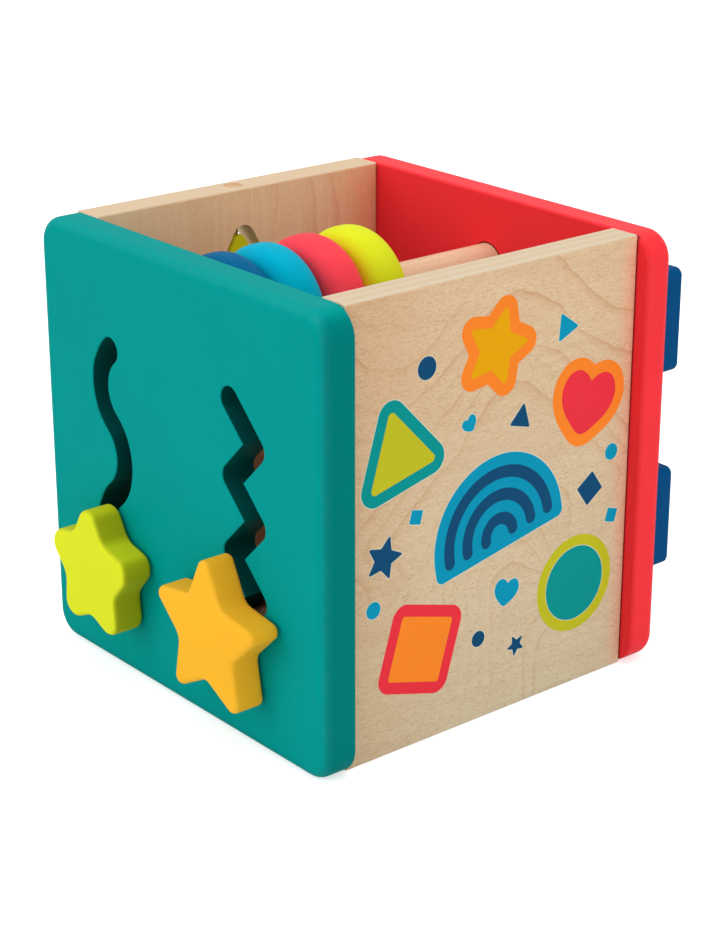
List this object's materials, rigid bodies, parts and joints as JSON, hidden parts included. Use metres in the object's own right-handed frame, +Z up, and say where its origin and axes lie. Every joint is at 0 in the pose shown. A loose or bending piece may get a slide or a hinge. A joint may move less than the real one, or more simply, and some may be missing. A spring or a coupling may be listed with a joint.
{
  "type": "wooden activity box",
  "caption": "Open wooden activity box with sliding shape knobs, beads on a dowel, a spinning triangle in a window and turning blocks on the back.",
  "frame": {"origin": "centre of the floor board's underside, level with the bottom of the four walls", "axes": "+Z up; -Y towards the viewer of the teal front board with the two slots; +X towards the outside of the printed side board; +Y towards the outside of the red board"},
  "size_m": [0.1608, 0.1802, 0.1615],
  "materials": {
    "teal_paint": "satin painted wood",
    "red_paint": "satin painted wood",
    "beech": "plain beech plywood, matt lacquer",
    "dowel_wood": "turned beech",
    "washer_wood": "plain beech",
    "dark_blue_paint": "satin painted wood",
    "light_blue_paint": "satin painted wood",
    "coral_paint": "satin painted wood",
    "lime_paint": "satin painted wood",
    "yellow_paint": "satin painted wood",
    "steel": "plain drawn steel"
  },
  "bodies": {
    "box": {"front_panel": "teal_paint", "back_panel": "red_paint", "right_panel": "beech", "left_panel": "beech", "base_panel": "beech", "bead_rod": "dowel_wood", "spinner_rod": "steel", "rod_plug": "dowel_wood", "joint_pin_front_left_low": "dowel_wood", "joint_pin_front_left_up": "dowel_wood", "joint_pin_front_right_low": "dowel_wood", "joint_pin_front_right_up": "dowel_wood", "joint_pin_back_left_low": "dowel_wood", "joint_pin_back_left_up": "dowel_wood", "joint_pin_back_right_low": "dowel_wood", "joint_pin_back_right_up": "dowel_wood"},
    "bead_1": {"bead_dark_blue": "dark_blue_paint"},
    "bead_2": {"bead_light_blue": "light_blue_paint"},
    "bead_3": {"bead_coral": "coral_paint"},
    "bead_4": {"bead_lime": "lime_paint"},
    "triangle": {"spinner": "lime_paint"},
    "star_carrier": {"star_washer": "washer_wood"},
    "star": {"star_knob": "yellow_paint", "star_pin": "dowel_wood"},
    "flower_carrier": {"flower_washer": "washer_wood"},
    "flower": {"flower_knob": "lime_paint", "flower_pin": "dowel_wood"},
    "block_up": {"upper_block": "dark_blue_paint", "upper_axle": "dowel_wood"},
    "block_low": {"lower_block": "dark_blue_paint", "lower_axle": "dowel_wood"}
  },
  "joints": [
    {"name": "bead_1_slide", "type": "slide", "parent": "box", "child": "bead_1", "axis": [0, 1, 0], "range_m": [-0.0011, 0.0137]},
    {"name": "bead_2_slide", "type": "slide", "parent": "bead_1", "child": "bead_2", "axis": [0, 1, 0], "range_m": [-0.0007, 0.0137]},
    {"name": "bead_3_slide", "type": "slide", "parent": "bead_2", "child": "bead_3", "axis": [0, 1, 0], "range_m": [-0.0007, 0.0137]},
    {"name": "bead_4_slide", "type": "slide", "parent": "bead_3", "child": "bead_4", "axis": [0, 1, 0], "range_m": [-0.0007, 0.0137]},
    {"name": "triangle_spin", "type": "hinge", "parent": "box", "child": "triangle", "pos_m": [-0.069, 0, 0.1211], "axis": [0, 0, 1], "continuous": true},
    {"name": "star_slide", "type": "slide", "parent": "box", "child": "star_carrier", "axis": [0.7071, 0, 0.7071], "range_m": [0, 0.019]},
    {"name": "star_turn", "type": "hinge", "parent": "star_carrier", "child": "star", "pos_m": [0.03145, -0.07, 0.04098], "axis": [0, 1, 0], "continuous": true},
    {"name": "flower_swing", "type": "hinge", "parent": "box", "child": "flower_carrier", "pos_m": [-0.02747, -0.063, 0.05418], "axis": [0, 1, 0], "range_deg": [0, 104]},
    {"name": "flower_turn", "type": "hinge", "parent": "flower_carrier", "child": "flower", "pos_m": [-0.0379, -0.07, 0.04075], "axis": [0, 1, 0], "continuous": true},
    {"name": "block_up_turn", "type": "hinge", "parent": "box", "child": "block_up", "pos_m": [0.0552, 0.07, 0.1261], "axis": [0, 1, 0], "continuous": true},
    {"name": "block_low_turn", "type": "hinge", "parent": "box", "child": "block_low", "pos_m": [0.0552, 0.07, 0.0514], "axis": [0, 1, 0], "continuous": true}
  ]
}
